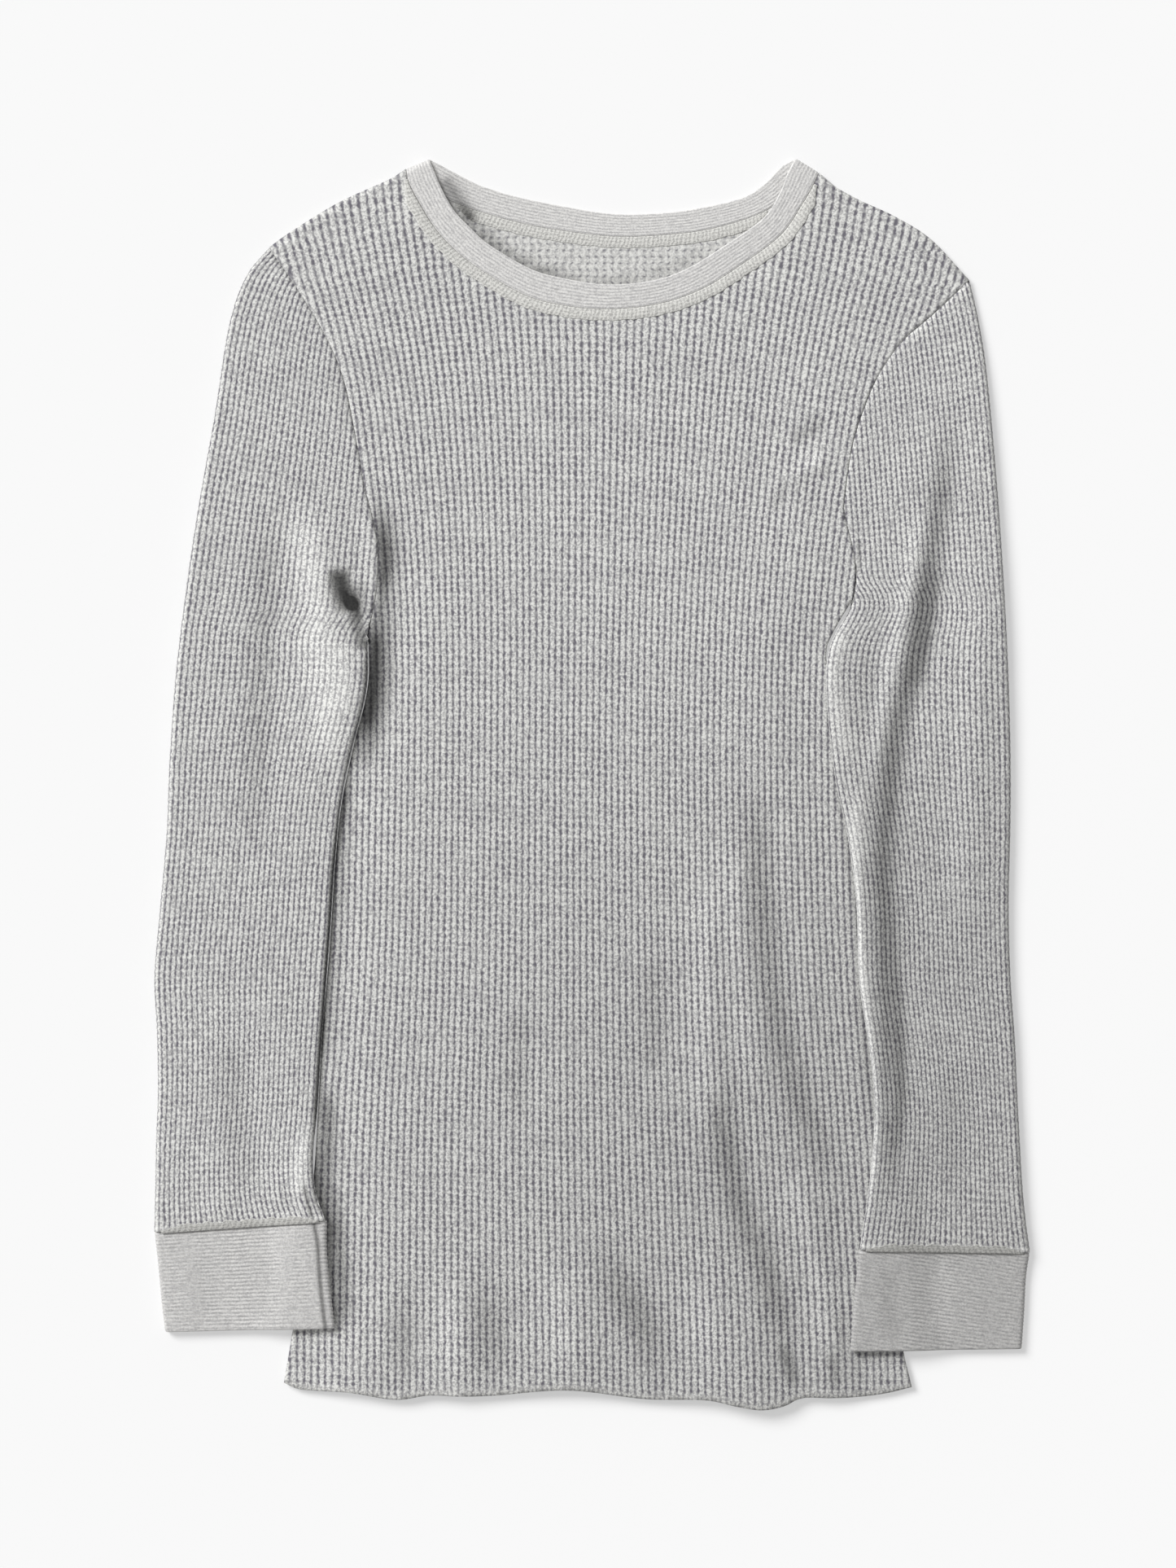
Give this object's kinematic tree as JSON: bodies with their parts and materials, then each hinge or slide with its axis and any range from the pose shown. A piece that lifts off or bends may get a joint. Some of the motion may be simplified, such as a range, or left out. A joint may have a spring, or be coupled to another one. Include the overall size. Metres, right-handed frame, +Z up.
{
  "type": "thermal top",
  "caption": "Long-sleeved crew-neck thermal top of marled waffle knit with rib cuffs and neckband, laid flat on its back with the sleeves beside the body.",
  "frame": {"origin": "on the surface the top lies on, under the middle of its outline", "axes": "+X to the right seen from above, +Y from the hem towards the neck, +Z up out of the front panel"},
  "size_m": [0.494, 0.706, 0.012],
  "materials": {
    "waffle_knit": "matt marled cotton waffle knit, pale grey ribs over darker pits",
    "rib_knit": "matt marled cotton rib knit, finely striped along the band"
  },
  "bodies": {
    "root": {"front": "waffle_knit", "back": "waffle_knit", "sleeve_left": "waffle_knit", "sleeve_right": "waffle_knit", "cuff_left": "rib_knit", "cuff_right": "rib_knit", "neckband": "rib_knit"}
  },
  "joints": []
}
